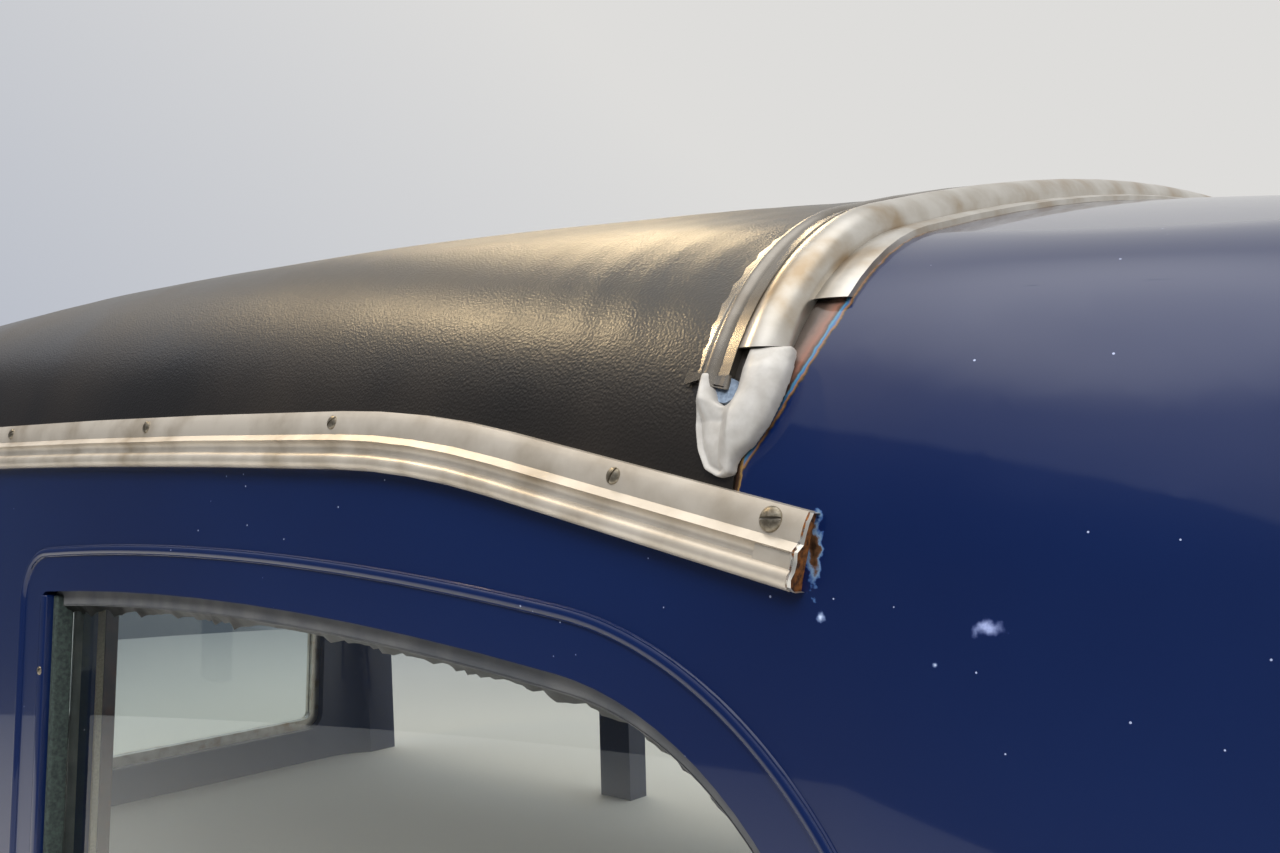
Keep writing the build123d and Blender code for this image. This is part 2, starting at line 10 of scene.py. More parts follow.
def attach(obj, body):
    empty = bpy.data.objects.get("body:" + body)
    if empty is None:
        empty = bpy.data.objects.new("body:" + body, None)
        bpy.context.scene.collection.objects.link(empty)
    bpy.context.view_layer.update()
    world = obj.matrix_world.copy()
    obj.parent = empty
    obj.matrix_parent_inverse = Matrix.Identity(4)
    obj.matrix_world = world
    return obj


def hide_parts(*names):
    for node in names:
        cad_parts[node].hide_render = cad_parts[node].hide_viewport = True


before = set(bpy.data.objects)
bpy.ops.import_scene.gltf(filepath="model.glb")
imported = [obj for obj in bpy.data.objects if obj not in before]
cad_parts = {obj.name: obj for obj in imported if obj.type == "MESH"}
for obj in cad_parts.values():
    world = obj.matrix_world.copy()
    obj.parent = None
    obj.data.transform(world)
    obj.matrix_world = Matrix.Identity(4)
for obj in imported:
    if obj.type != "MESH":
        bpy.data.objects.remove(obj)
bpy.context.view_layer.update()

# Closed top of a sedan body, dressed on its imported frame. Metres: X to the rear, Y to the
# car's right, Z up from the belt line.

# Body form, as the panels have it
HALF_LENGTH = 1.05
REAR_HALF_WIDTH = 0.682
FRONT_HALF_WIDTH = 0.627
LEAN = radians(2.3)
REAR_CORNER_R = 0.280
FRONT_CORNER_R = 0.165
ROOF_PEAK_X = 0.320
STEEL_ROOF_Z = 0.754
ROOF_LENGTH_R = 5.4
ROOF_CROSS_R = 2.3
ROOF_ROLL_R = 0.130
PADDING_RISE = 0.005

# Edge of the covering, along the side moulding's top: a straight fall to the rear, then
# arcs by their centre (X, Z) and radius, each good ahead of its own X
LINE_REAR = (0.747, 0.5668)
LINE_SLOPE = 0.1808
LINE_ARCS = (
    (0.6019, (0.4952, 0.0026), 0.6),
    (0.4952, (0.4952, -12.1974), 12.8),
    (-0.100, (0.0813, -3.3070), 3.9),
)
COVER_FRONT_X = -0.935
COVER_REAR_X = 0.716
COVERING = 0.0035
COVER_TUCK = 0.003

# Side plane's own axes at the left: along it to the rear, up it, and straight out of it
SIDE_FOOT = Vector((0, -(REAR_HALF_WIDTH + FRONT_HALF_WIDTH) / 2, 0))
SIDE_ALONG = Vector((2 * HALF_LENGTH, FRONT_HALF_WIDTH - REAR_HALF_WIDTH, 0)).normalized()
SIDE_INWARD = Vector((-SIDE_ALONG.y, SIDE_ALONG.x, 0))
SIDE_UP = Vector((0, 0, cos(LEAN))) + SIDE_INWARD * sin(LEAN)
SIDE_OUT = SIDE_ALONG.cross(SIDE_UP)

# Quarter window in the side plane: ends, sill, crest of its bowed top, and corner radii
QUARTER_X = (0.191, 0.773)
QUARTER_SILL = 0.095
QUARTER_CREST = (0.430, 0.5086)
QUARTER_TOP_R = 2.5
QUARTER_REAR_R = 0.152
QUARTER_SILL_R = 0.070
QUARTER_JAMB_R = 0.009
GLASS_DEPTH = 0.015
JAMB_Z = (0.101, 0.4955)
SEAL_WIDTH = 0.009

# Side moulding: its rear end in the side plane, its fall there, and its cut section as
# distance out and height, from the flange's top down to the lower bead
MOULDING_END = (0.747, 0.55355)
MOULDING_FALL = atan2(LINE_SLOPE, 1)
MOULDING_SECTION = (
    (-0.0018, 0.0131), (0.0025, 0.0131), (0.0040, 0.0098), (0.0047, 0.0060), (0.0051, 0.0026),
    (0.0079, 0.0001), (0.0072, -0.0030), (0.0075, -0.0062), (0.0090, -0.0088),
    (0.0083, -0.0114), (0.0053, -0.0132), (-0.0018, -0.0132),
)

# Screw heads: radius of most, and of the one at each side moulding's rear end. On the flange
# they sit this far below its top and out from the side, and lean back with it
SCREW_R = 0.0033
END_SCREW_R = 0.0045
FLANGE_DOWN = 0.0053
FLANGE_OUT = 0.0040
FLANGE_TILT = radians(13)

# Bead strip: height of its cut ends, its front and rear edges, and how much lower the left
# end hangs at each edge. The hollow's outline is X and distance out, the tab's X, Z and out
BEAD_END = 0.612
BEAD_STRIP_X = (0.688, 0.7085)
BEAD_HANG = (0.0012, 0.0050)
HOLLOW_OUTLINE = (
    (0.7078, 0.0002), (0.7078, 0.0039), (0.7030, 0.0036), (0.7012, 0.0046), (0.6990, 0.0053),
    (0.6970, 0.0044), (0.6957, 0.0002),
)
TAB_OUTLINE = (
    (0.6868, 0.6135, 0.0012), (0.6955, 0.6135, 0.0012), (0.6945, 0.6098, 0.0026),
    (0.6885, 0.6078, 0.0034),
)

# Cast tip: its height in the middle and at the rim, how far in the rounding reaches, how deep
# it sits in the padding, the thickness of the blank it is shaped from, its crease as X at a Z
# with a slope, and its outline in X and Z
TIP_RISE = 0.009
TIP_RIM = 0.0016
TIP_ROUND = 0.0078
TIP_SUNK = 0.001
TIP_BLANK = 0.004
TIP_CREASE = (0.7162, 0.5927, 0.083)
TIP_OUTLINE = (
    (0.7302, 0.6208), (0.7314, 0.6123), (0.7304, 0.6038), (0.7275, 0.5945), (0.7228, 0.5875),
    (0.7182, 0.5838), (0.7166, 0.5808), (0.7165, 0.5772), (0.7110, 0.5760), (0.7050, 0.5785),
    (0.7008, 0.5850), (0.6981, 0.5930), (0.6968, 0.6020), (0.6962, 0.6119), (0.7012, 0.6119),
    (0.7027, 0.6068), (0.7055, 0.6020), (0.7095, 0.6000), (0.7128, 0.6016), (0.7139, 0.6050),
    (0.7136, 0.6105), (0.7124, 0.6208),
)
TIP_PLUG = (0.7078, 0.6058)

# First guess at a side's distance from the middle, from which its surface is solved
SIDE_GUESS = 0.65

# Direction of the surroundings' pale half, and the floor's radius
PALE_SIDE = (0.282, 0.569, 0.773)
FLOOR_R = 2.8

# Eye point of the photograph, its turn, and the lens on a 36 mm wide film
EYE = Vector((0.978, -1.011, 0.590))
EYE_TURN = (radians(90.507), 0, radians(40))
LENS = 36.56


def unit(v):
    """Rows of vectors brought to length one."""
    return v / np.linalg.norm(v, axis=1, keepdims=True)


def rolled(da, na, db, nb, radius):
    """Distance and normal of two surfaces joined by a rolled edge of one radius."""
    c = (na * nb).sum(1)
    s = 1 - c**2
    u, v = da + radius, db + radius
    alpha, beta = (u - c * v) / s, (v - c * u) / s
    across = alpha[:, None] * na + beta[:, None] * nb
    length = np.linalg.norm(across, axis=1)
    on_roll = (alpha > 0) & (beta > 0)
    distance = np.where(on_roll, length - radius, np.maximum(da, db))
    flat = np.where((da > db)[:, None], na, nb)
    normal = np.where(on_roll[:, None], across / np.maximum(length, 1e-9)[:, None], flat)
    return distance, normal


def body_form(points, lift=0.0):
    """Signed distance and outward normal of the top's outer form at points. Lift raises the
    roof, as its padding does."""
    x, y, z = points.T
    hand = np.where(y < 0, -1.0, 1.0)
    slope = (REAR_HALF_WIDTH - FRONT_HALF_WIDTH) / (2 * HALF_LENGTH)
    run = sqrt(1 + slope**2)
    zero, one = np.zeros_like(x), np.ones_like(x)
    side = (abs(y) - FRONT_HALF_WIDTH - (x + HALF_LENGTH) * slope) / run
    side_n = np.stack([-slope / run * one, one / run, zero], 1)
    rear, rear_n = x - HALF_LENGTH, np.stack([one, zero, zero], 1)
    front, front_n = -x - HALF_LENGTH, np.stack([-one, zero, zero], 1)
    back_d, back_n = rolled(side, side_n, rear, rear_n, REAR_CORNER_R)
    nose_d, nose_n = rolled(side, side_n, front, front_n, FRONT_CORNER_R)
    behind = x > 0
    plan = np.where(behind, back_d, nose_d)
    plan_n = np.where(behind[:, None], back_n, nose_n)
    wall = (plan + z * tan(LEAN)) * cos(LEAN)
    wall_n = plan_n * cos(LEAN)
    wall_n[:, 2] = sin(LEAN)
    hub = STEEL_ROOF_Z + lift - ROOF_LENGTH_R
    rise = np.hypot(x - ROOF_PEAK_X, z - hub)
    out = rise - (ROOF_LENGTH_R - ROOF_CROSS_R)
    reach = np.hypot(out, y)
    roof = reach - ROOF_CROSS_R
    lean = out / reach / rise
    roof_n = np.stack([(x - ROOF_PEAK_X) * lean, abs(y) / reach, (z - hub) * lean], 1)
    distance, normal = rolled(wall, wall_n, roof, roof_n, ROOF_ROLL_R)
    normal[:, 1] *= hand
    return distance, unit(normal)


def seat(points, lift=0.0, proud=0.0):
    """Points brought onto the body's form, or a little proud of it, with normals."""
    points = np.array(points, float)
    for _ in range(6):
        distance, normal = body_form(points, lift)
        points -= (distance - proud)[:, None] * normal
    return points, normal


def cover_line(x):
    """Height of the covering's lower edge at x."""
    height = LINE_REAR[1] - LINE_SLOPE * (x - LINE_REAR[0])
    for start, (hub_x, hub_z), radius in LINE_ARCS:
        arc = hub_z + np.sqrt(radius**2 - np.clip(x - hub_x, -radius, radius) ** 2)
        height = np.where(x < start, arc, height)
    return height - COVER_TUCK


def new_object(name, mesh, material):
    """A piece of the object, with its one material."""
    piece = bpy.data.objects.new(name, mesh)
    bpy.context.scene.collection.objects.link(piece)
    piece.data.materials.clear()
    piece.data.materials.append(material)
    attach(piece, "root")
    return piece


def from_bmesh(name, bm, material, smooth=35):
    """Finishes a bmesh: smooth faces, and sharp edges past an angle in degrees."""
    for face in bm.faces:
        face.smooth = True
    for edge in bm.edges:
        edge.smooth = edge.is_manifold and edge.calc_face_angle(0) < radians(smooth)
    mesh = bpy.data.meshes.new(name)
    bm.to_mesh(mesh)
    bm.free()
    return new_object(name, mesh, material)


def true_normals(mesh):
    """Gives faces that lie on the body's form, to 0.6 mm and 16 degrees, the form's own
    normals, so that reflections run smoothly."""
    count = len(mesh.loops)
    vertex = np.zeros(count, np.int32)
    mesh.loops.foreach_get("vertex_index", vertex)
    split = np.zeros(count * 3, np.float32)
    mesh.corner_normals.foreach_get("vector", split)
    split = split.reshape(-1, 3).astype(float)
    co = np.zeros(len(mesh.vertices) * 3, np.float32)
    mesh.vertices.foreach_get("co", co)
    distance, normal = body_form(co.reshape(-1, 3).astype(float))
    outer = (abs(distance[vertex]) < 0.0006) & ((normal[vertex] * split).sum(1) > 0.96)
    split[outer] = normal[vertex][outer]
    mesh.normals_split_custom_set(split.tolist())


def on_side(along, up, out=0.0, hand=-1):
    """A point by the side plane's own axes; hand is -1 at the car's left and 1 at its right."""
    point = SIDE_FOOT + float(along) * SIDE_ALONG + float(up) * SIDE_UP + out * SIDE_OUT
    return Vector((point.x, -hand * point.y, point.z))


def at_height(places, lift=0.0, hand=-1):
    """Points on the body's side at given X and Z, with normals."""
    x, z = np.array(places, float).T
    points = np.stack([x, hand * SIDE_GUESS + 0 * x, z], 1)
    for _ in range(12):
        distance, normal = body_form(points, lift)
        points[:, 1] -= distance / normal[:, 1]
    return points, normal


def lower_end(bm):
    """Lets the bead strip's left end slant down over the cast tip's notch."""
    ends = [
        f for f in bm.faces
        if f.normal.z < -0.99 and f.calc_center_median().y < 0
        and abs(f.calc_center_median().z - BEAD_END) < 1e-4
    ]
    grown = bmesh.ops.extrude_face_region(bm, geom=ends)["geom"]
    tips = [part for part in grown if isinstance(part, bmesh.types.BMVert)]
    here = np.array([v.co for v in tips])
    share = np.clip((here[:, 0] - BEAD_STRIP_X[0]) / (BEAD_STRIP_X[1] - BEAD_STRIP_X[0]), 0, 1)
    hang = BEAD_HANG[0] + (BEAD_HANG[1] - BEAD_HANG[0]) * share
    below = here - np.outer(hang, (0, 0, 1))
    foot = at_height(here[:, [0, 2]], PADDING_RISE)[0]
    lower = at_height(below[:, [0, 2]], PADDING_RISE)[0]
    for vertex, point in zip(tips, here + lower - foot):
        vertex.co = point


def finished_copy(name, node, material, shape=None):
    """A merged, smooth-shaded copy of a CAD node that takes its place."""
    bm = bmesh.new()
    bm.from_mesh(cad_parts[node].data)
    bmesh.ops.remove_doubles(bm, verts=bm.verts, dist=2e-6)
    if shape:
        shape(bm)
    piece = from_bmesh(name, bm, material)
    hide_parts(node)
    return piece


def hex_colour(code):
    """Linear colour from an sRGB hex code, with an opacity where it has eight digits."""
    parts = [int(code[i : i + 2], 16) / 255 for i in range(1, len(code), 2)]
    linear = [c / 12.92 if c <= 0.04045 else ((c + 0.055) / 1.055) ** 2.4 for c in parts[:3]]
    return linear + (parts[3:] or [1])


def add(tree, kind, inputs=None, stops=(), **settings):
    """Adds a node with its settings, its input values or links, and a ramp's colour stops."""
    node = tree.nodes.new("ShaderNode" + kind)
    for name, value in settings.items():
        setattr(node, name, value)
    for name, value in (inputs or {}).items():
        socket = node.inputs[name]
        if isinstance(value, bpy.types.NodeSocket):
            tree.links.new(value, socket)
        else:
            socket.default_value = value
    for count, (place, code) in enumerate(stops):
        band = node.color_ramp.elements
        if count == len(band):
            band.new(place)
        band[count].position = place
        band[count].color = hex_colour(code)
    return node


def shader(name, **values):
    """A new material with a Principled shader: returns material, tree, shader, place."""
    material = bpy.data.materials.new(name)
    material.use_nodes = True
    tree = material.node_tree
    tree.nodes.clear()
    inputs = {k.replace("_", " ").title().replace("Ior", "IOR"): v for k, v in values.items()}
    body = add(tree, "BsdfPrincipled", inputs)
    add(tree, "OutputMaterial", {"Surface": body.outputs[0]})
    place = add(tree, "TexCoord").outputs["Object"]
    return material, tree, body, place


# A deep chip's colours from its middle outwards: dark core, rust, old light blue, thin enamel
CHIP_TONES = [
    (0.0, "#1c130dff"), (0.20, "#4a3322ff"), (0.33, "#5d7590ff"), (0.46, "#2a4470ff"),
    (0.5, "#2a447000"),
]

# Marks in the enamel as centre, radii and colour stops outwards: chips round the side
# mouldings' ends, then on the left a white smudge and two chips
ENAMEL_MARKS = (
    ((0.7500, -0.655, 0.5525), (0.0044, 0.03, 0.0170), CHIP_TONES),
    ((0.7500, 0.655, 0.5525), (0.0044, 0.03, 0.0170), CHIP_TONES),
    ((0.8096, -0.650, 0.5338), (0.0075, 0.02, 0.0050), [(0.0, "#8c97bdff"), (0.45, "#3a4a8000")]),
    ((0.7532, -0.652, 0.5320), (0.0028, 0.02, 0.0028), [(0.0, "#b8c6e0ff"), (0.45, "#5a78b000")]),
    ((0.7937, -0.652, 0.5214), (0.0014, 0.02, 0.0014), [(0.0, "#c0c8deff"), (0.45, "#5a78b000")]),
)


def coach_enamel():
    """Coach enamel, brushed and polished: deep blue under a thin glassy coat. Chipped to
    primer, old light blue and rust along the strips, with painted shade where the bared band
    meets the cover strip, and dusted with fine white specks."""
    material, tree, body, place = shader(
        "coach_enamel_polished",
        roughness=0.35,
        specular_ior_level=0.2,
        coat_weight=0.8,
        coat_roughness=0.03,
    )
    # clouds a third of a metre wide, too faint to see as such, keep the blue from being flat
    cloud = add(tree, "TexNoise", {"Vector": place, "Scale": 3.0, "Detail": 5.0})
    blue = add(
        tree, "ValToRGB", {"Fac": cloud.outputs["Fac"]}, [(0.3, "#061438"), (0.7, "#081b43")]
    ).outputs[0]
    # flakes 3 to 4 mm wide break every worn edge by about a millimetre
    flakes = add(tree, "TexNoise", {"Vector": place, "Scale": 280.0, "Detail": 6.0})
    apart = add(tree, "SeparateXYZ", {"Vector": place})
    rough_x = add(
        tree,
        "Math",
        {0: flakes.outputs["Fac"], 1: 0.0025, 2: apart.outputs["X"]},
        operation="MULTIPLY_ADD",
    )
    # the bared band under the broken flange curves in under the tip towards the moulding. It
    # stays above the side moulding and behind the bead strip's front lip
    drop = add(
        tree, "Math", {0: 0.642, 1: apart.outputs["Z"]}, operation="SUBTRACT", use_clamp=True
    )
    bend = add(
        tree, "Math", {0: drop.outputs[0], 1: 4.6, 2: 0.062}, operation="MULTIPLY_ADD"
    )
    shifted = add(
        tree,
        "Math",
        {0: drop.outputs[0], 1: bend.outputs[0], 2: rough_x.outputs[0]},
        operation="MULTIPLY_ADD",
    )
    behind = add(tree, "Math", {0: apart.outputs["X"], 1: 0.68}, operation="GREATER_THAN")
    above = add(
        tree,
        "MapRange",
        {
            "Value": apart.outputs["Z"],
            "From Min": 0.567,
            "From Max": 0.571,
            "To Max": behind.outputs[0],
        },
    )
    band = add(
        tree, "MapRange", {"Value": shifted.outputs[0], "From Min": 0.727, "From Max": 0.747}
    )
    # the band's colours run from painted shade next to the cover strip's edge, through rust, old
    # light blue and brown, to a dark edge at the paint
    bared_and_shaded = add(
        tree,
        "ValToRGB",
        {"Fac": band.outputs[0]},
        [
            (0.0, "#1a1411ff"),
            (0.24, "#3a2f29ff"),
            (0.38, "#6a544aff"),
            (0.50, "#7c584bff"),
            (0.58, "#4a3a32ff"),
            (0.625, "#41748fff"),
            (0.66, "#2f5a86ff"),
            (0.70, "#7a5636ff"),
            (0.745, "#2a2622ff"),
            (0.765, "#2a262200"),
        ],
    )
    seam = add(
        tree, "MapRange", {"Value": rough_x.outputs[0], "From Min": 0.7165, "From Max": 0.7225}
    )
    rusted = add(
        tree,
        "ValToRGB",
        {"Fac": seam.outputs[0]},
        [(0.0, "#120c09ff"), (0.3, "#33231aff"), (0.45, "#7d6238ff"), (0.52, "#7d623800")],
    )
    # rust, wear and the bared band's painted shade, laid over the blue
    layers = []
    for wear_and_shade in (bared_and_shaded, rusted):
        mask = add(tree, "Math", {0: wear_and_shade.outputs[1], 1: above.outputs[0]}, operation="MULTIPLY")
        layers.append((mask.outputs[0], wear_and_shade.outputs[0]))
    for centre, radii, stops in ENAMEL_MARKS:
        scale = [1 / r for r in radii]
        local = add(
            tree,
            "Mapping",
            {
                "Vector": place,
                "Location": [-c * s for c, s in zip(centre, scale)],
                "Scale": scale,
            },
        )
        away = add(tree, "VectorMath", {0: local.outputs[0]}, operation="LENGTH")
        ragged = add(
            tree,
            "Math",
            {0: flakes.outputs["Fac"], 1: 1.6, 2: away.outputs["Value"]},
            operation="MULTIPLY_ADD",
        )
        span = add(
            tree, "MapRange", {"Value": ragged.outputs[0], "From Min": 0.8, "From Max": 2.3}
        )
        mark = add(tree, "ValToRGB", {"Fac": span.outputs[0]}, stops)
        layers.append((mark.outputs[1], mark.outputs[0]))
    # dust grains under a millimetre wide, in about one cell in five, with cells 8 mm apart
    dust = add(tree, "TexVoronoi", {"Vector": place, "Scale": 120.0})
    near = add(tree, "Math", {0: dust.outputs["Distance"], 1: 0.05}, operation="LESS_THAN")
    chosen = add(tree, "Math", {0: dust.outputs["Color"], 1: 0.62}, operation="GREATER_THAN")
    grain = add(tree, "Math", {0: near.outputs[0], 1: chosen.outputs[0]}, operation="MULTIPLY")
    white = add(tree, "RGB")
    white.outputs[0].default_value = hex_colour("#8f98b4")
    layers.append((grain.outputs[0], white.outputs[0]))
    tone = blue
    for mask, colour in layers:
        tone = add(tree, "Mix", {0: mask, 6: tone, 7: colour}, data_type="RGBA").outputs[2]
    tree.links.new(tone, body.inputs["Base Color"])
    return material


def leatherette():
    """Coated cloth with an embossed leather grain: warm near-black, half gloss, so that low
    light brings up the grain and every fold."""
    material, tree, body, place = shader("leatherette_embossed", specular_ior_level=0.75)
    cloud = add(tree, "TexNoise", {"Vector": place, "Scale": 9.0, "Detail": 6.0})
    tone = add(
        tree, "ValToRGB", {"Fac": cloud.outputs["Fac"]}, [(0.3, "#151311"), (0.7, "#231e19")]
    )
    wear = add(
        tree,
        "MapRange",
        {
            "Value": cloud.outputs["Fac"],
            "From Min": 0.3,
            "From Max": 0.7,
            "To Min": 0.31,
            "To Max": 0.44,
        },
    )
    # pebbles about 1 mm wide, as embossed, and pulled wrinkles 5 mm apart
    pebble = add(tree, "TexVoronoi", {"Vector": place, "Scale": 950.0}, feature="SMOOTH_F1")
    pull = add(tree, "Mapping", {"Vector": place, "Scale": (1.0, 0.3, 0.3)})
    wrinkle = add(tree, "TexNoise", {"Vector": pull.outputs[0], "Scale": 190.0, "Detail": 8.0})
    height = add(
        tree,
        "Math",
        {0: wrinkle.outputs["Fac"], 1: 0.9, 2: pebble.outputs["Distance"]},
        operation="MULTIPLY_ADD",
    )
    bump = add(tree, "Bump", {"Height": height.outputs[0], "Strength": 0.3, "Distance": 0.0005})
    tree.links.new(tone.outputs[0], body.inputs["Base Color"])
    tree.links.new(wear.outputs[0], body.inputs["Roughness"])
    tree.links.new(bump.outputs[0], body.inputs["Normal"])
    return material


def drawn_metal(name, light, dark, stained, roughness, metallic=0.9):
    """Aluminium strip drawn lengthwise: fine streaks along it, and a dulling film of oxide
    that leaves cloudy, slightly brown stains some centimetres long."""
    material, tree, body, place = shader(name, metallic=metallic, roughness=roughness)
    # drawing lines 2 to 5 mm apart and some 30 mm long. The real ones are finer, and these are
    # as coarse as they need to be to show
    along = add(tree, "Mapping", {"Vector": place, "Scale": (6.0, 40.0, 90.0)})
    lines = add(tree, "TexNoise", {"Vector": along.outputs[0], "Scale": 5.0, "Detail": 6.0})
    stain = add(tree, "TexNoise", {"Vector": place, "Scale": 38.0, "Detail": 9.0})
    tone = add(
        tree,
        "ValToRGB",
        {"Fac": stain.outputs["Fac"]},
        [(0.30, stained), (0.47, dark), (0.62, light)],
    )
    tree.links.new(tone.outputs[0], body.inputs["Base Color"])
    bump = add(
        tree, "Bump", {"Height": lines.outputs["Fac"], "Strength": 0.12, "Distance": 0.0003}
    )
    tree.links.new(bump.outputs[0], body.inputs["Normal"])
    return material


def plain(name, light, dark, scale, depth=0.0003, **values):
    """A material of two close tones, clouded and bumped at one scale."""
    material, tree, body, place = shader(name, **values)
    cloud = add(tree, "TexNoise", {"Vector": place, "Scale": scale, "Detail": 6.0})
    tone = add(tree, "ValToRGB", {"Fac": cloud.outputs["Fac"]}, [(0.35, dark), (0.65, light)])
    tree.links.new(tone.outputs[0], body.inputs["Base Color"])
    bump = add(
        tree, "Bump", {"Height": cloud.outputs["Fac"], "Strength": 0.3, "Distance": depth}
    )
    tree.links.new(bump.outputs[0], body.inputs["Normal"])
    return material


enamel = coach_enamel()
covering = leatherette()
# side mouldings: oxide has dulled them to a warm pale grey
dull_strip = drawn_metal(
    "aluminium_drawn_weathered", "#d3cabc", "#c4baab", "#a89b88", 0.38, metallic=0.6
)
# cover strip, flange and front moulding: brighter, with soft mirror-like streaks
bright_strip = drawn_metal("aluminium_rolled_polished", "#cdc9c2", "#bcb6ac", "#a39179", 0.30)
# bead strip: tarnished to a darker grey that still glints along its edges
bead_metal = drawn_metal("aluminium_rolled_tarnished", "#8f8a83", "#817b73", "#6e655a", 0.27)

# The next materials give their pattern as patches per metre: 60 is 17 mm, 300 is 3 mm and
# 900 is 1 mm wide. Sand, felt, rust and cloth are finer, and are coarsened until they show.

# sand-cast alloy: matt light grey, with the mould's softly clouded skin
casting = plain("aluminium_sand_cast", "#b4b1ac", "#a39f99", 160.0, metallic=0.2, roughness=0.45)
# the cut end's folded lip: rubbed bright
worn_edge = plain(
    "aluminium_rubbed_edge", "#e0ddd6", "#cfcac0", 300.0, metallic=0.8, roughness=0.35
)
# planed ash: pale, matt and bare
timber = plain("ash_planed", "#c7a878", "#a98757", 60.0, roughness=0.7)
# woven wool: fawn, with a soft bloom at a low angle
cloth = plain("wool_headlining", "#a3967b", "#8a7d63", 900.0, roughness=0.95, sheen_weight=0.4)
# rubber setting strip: grey and chalky with age
strip_rubber = plain("setting_strip_chalky", "#6b6b6b", "#56585b", 60.0, roughness=0.8)
# felt of the window channel: dull green-black
felt = plain("channel_felt_dark", "#39433f", "#242b2a", 500.0, roughness=0.9)
# bitumen mastic: black, with a wet gleam
mastic = plain("bitumen_mastic_run", "#141312", "#070707", 300.0, roughness=0.35)
# stained hardwood under varnish: deep brown and glossy
varnish = plain("hardwood_varnished", "#4a2a17", "#2c170c", 80.0, roughness=0.3, coat_weight=0.5)
# rusted steel core: orange-brown, pitted and quite matt
rust = plain("rusted_core", "#8a5527", "#3a2213", 500.0, 0.0006, roughness=0.85)
# the hollow in the bead strip's cut end: nearly black, as painted shade
hollow_shade = plain("hollow_painted_shade", "#16110e", "#0a0807", 300.0, roughness=0.9)
# lead filler in the tip's notch: bluish grey, matt
lead = plain("filler_lead_grey", "#7d8b9c", "#5f6b7b", 700.0, roughness=0.6)
# nickel-plated screws: yellowish and dulled
nickel = plain("screw_nickel_dulled", "#a89f8e", "#7d7464", 700.0, metallic=0.9, roughness=0.42)
# drawn sheet glass: clear, with a faint green cast
glass = shader(
    "drawn_glass", base_color=hex_colour("#eef5f3"), roughness=0.0, transmission_weight=1.0
)[0]


PANELS = [
    "rear_roof_panel", "back_panel", "quarter_panel_left", "quarter_panel_right",
    "windscreen_header", "door_header_left", "door_header_right", "cowl_rail",
    "a_post_left", "a_post_right", "b_post_left", "b_post_right", "c_post_left", "c_post_right",
]
for node in PANELS:
    true_normals(finished_copy(node + "_painted", node, enamel).data)
finished_copy("bead_strip_finished", "bead_strip", bead_metal, lower_end)
for node, material, slot in (
    ("cover_strip", bright_strip, "polished_strip"),
    ("rear_flange_strip", bright_strip, "polished_strip"),
    ("front_cross_moulding", bright_strip, "polished_strip"),
    ("side_moulding_left", dull_strip, "aluminium_moulding"),
    ("side_moulding_right", dull_strip, "aluminium_moulding"),
):
    finished_copy(node + "_finished", node, material)
for node, material in (
    ("roof_deck", timber), ("headlining", cloth), ("quarter_lining_left", cloth),
    ("quarter_lining_right", cloth), ("back_lining", cloth),
    ("quarter_seal_left", strip_rubber), ("quarter_seal_right", strip_rubber),
    ("rear_window_seal", strip_rubber), ("quarter_frame_left", varnish),
    ("quarter_frame_right", varnish), ("rear_window_frame", varnish),
    ("windscreen_frame", bright_strip), ("quarter_glass_left", glass),
    ("quarter_glass_right", glass), ("rear_window_glass", glass), ("windscreen_glass", glass),
):
    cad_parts[node].data.materials.clear()
    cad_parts[node].data.materials.append(material)


def folds(x, points):
    """How far padding lumps and pulled folds lift the covering, in metres: lumps 180 and 70 mm
    wide all over, and at the rear, where it is pulled tight, folds 30 and 17 mm apart."""
    near = np.clip((x - 0.50) / 0.16, 0, 1) * np.clip((COVER_REAR_X - x) / 0.03, 0, 1)
    lift = np.zeros(len(x))
    for i, (px, py, pz) in enumerate(points):
        lump = 0.0010 * noise.noise((px * 5.5, py * 5.5, pz * 5.5))
        lump += 0.00035 * noise.noise((px * 15, py * 13 + 4, pz * 13))
        sway = noise.noise((px * 6, py * 9, pz * 9 + 7))
        fold = 0.00016 * sin(2 * pi * (px * 34 + 0.9 * sway)) * near[i]
        lift[i] = lump + fold + 0.00018 * noise.noise((px * 60, py * 22, pz * 22)) * near[i]
    return 0.0012 + lift


